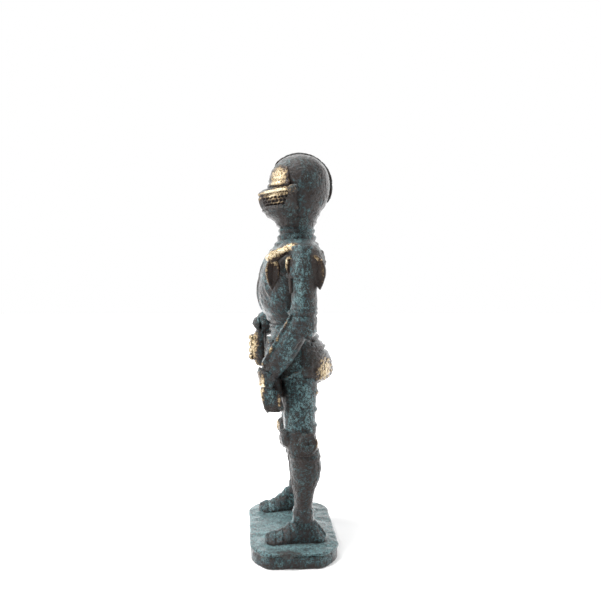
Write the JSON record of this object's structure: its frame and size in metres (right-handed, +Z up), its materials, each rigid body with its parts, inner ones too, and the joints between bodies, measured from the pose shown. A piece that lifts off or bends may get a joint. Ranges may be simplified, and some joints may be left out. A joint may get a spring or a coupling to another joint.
{
  "type": "souvenir figurine",
  "caption": "Standing knight statuette in full plate armour with a closed pointed visor, on a rounded plinth, in patinated brass; a small desk or shelf ornament.",
  "frame": {"origin": "centre of the plinth's underside, on the surface it stands on", "axes": "+Z up, the figure faces -Y, its left hand is toward +X"},
  "size_m": [0.0434, 0.0257, 0.1199],
  "materials": {
    "patinated_brass": "cast brass with a matte dark green-blue patina",
    "rubbed_brass": "cast brass, patina in the hollows and rubbed to bare metal on the high spots",
    "dark_brass": "cast brass toned dark brown, satin, bare at the rims",
    "plinth_brass": "rough cast brass with a paler green-blue patina"
  },
  "bodies": {
    "root": {"plinth_block": "plinth_brass", "plinth_slab": "plinth_brass", "left_sabaton": "patinated_brass", "right_sabaton": "patinated_brass", "left_greave": "patinated_brass", "right_greave": "patinated_brass", "left_poleyn": "rubbed_brass", "right_poleyn": "rubbed_brass", "left_cuisse": "patinated_brass", "right_cuisse": "patinated_brass", "fauld": "patinated_brass", "culet": "rubbed_brass", "left_tasset": "patinated_brass", "right_tasset": "patinated_brass", "belt": "dark_brass", "breastplate": "patinated_brass", "backplate": "patinated_brass", "gorget": "patinated_brass", "left_rerebrace": "patinated_brass", "right_rerebrace": "patinated_brass", "left_couter": "patinated_brass", "right_couter": "patinated_brass", "left_vambrace": "patinated_brass", "right_vambrace": "patinated_brass", "left_gauntlet": "rubbed_brass", "right_gauntlet": "rubbed_brass", "left_pauldron": "rubbed_brass", "right_pauldron": "rubbed_brass", "left_front_besagew": "dark_brass", "right_front_besagew": "dark_brass", "left_rear_besagew": "dark_brass", "right_rear_besagew": "dark_brass", "helmet_skull": "patinated_brass", "helmet_comb": "dark_brass", "brow_plate": "rubbed_brass", "visor": "rubbed_brass", "bevor": "dark_brass", "left_visor_pivot": "rubbed_brass", "right_visor_pivot": "rubbed_brass"}
  },
  "joints": []
}
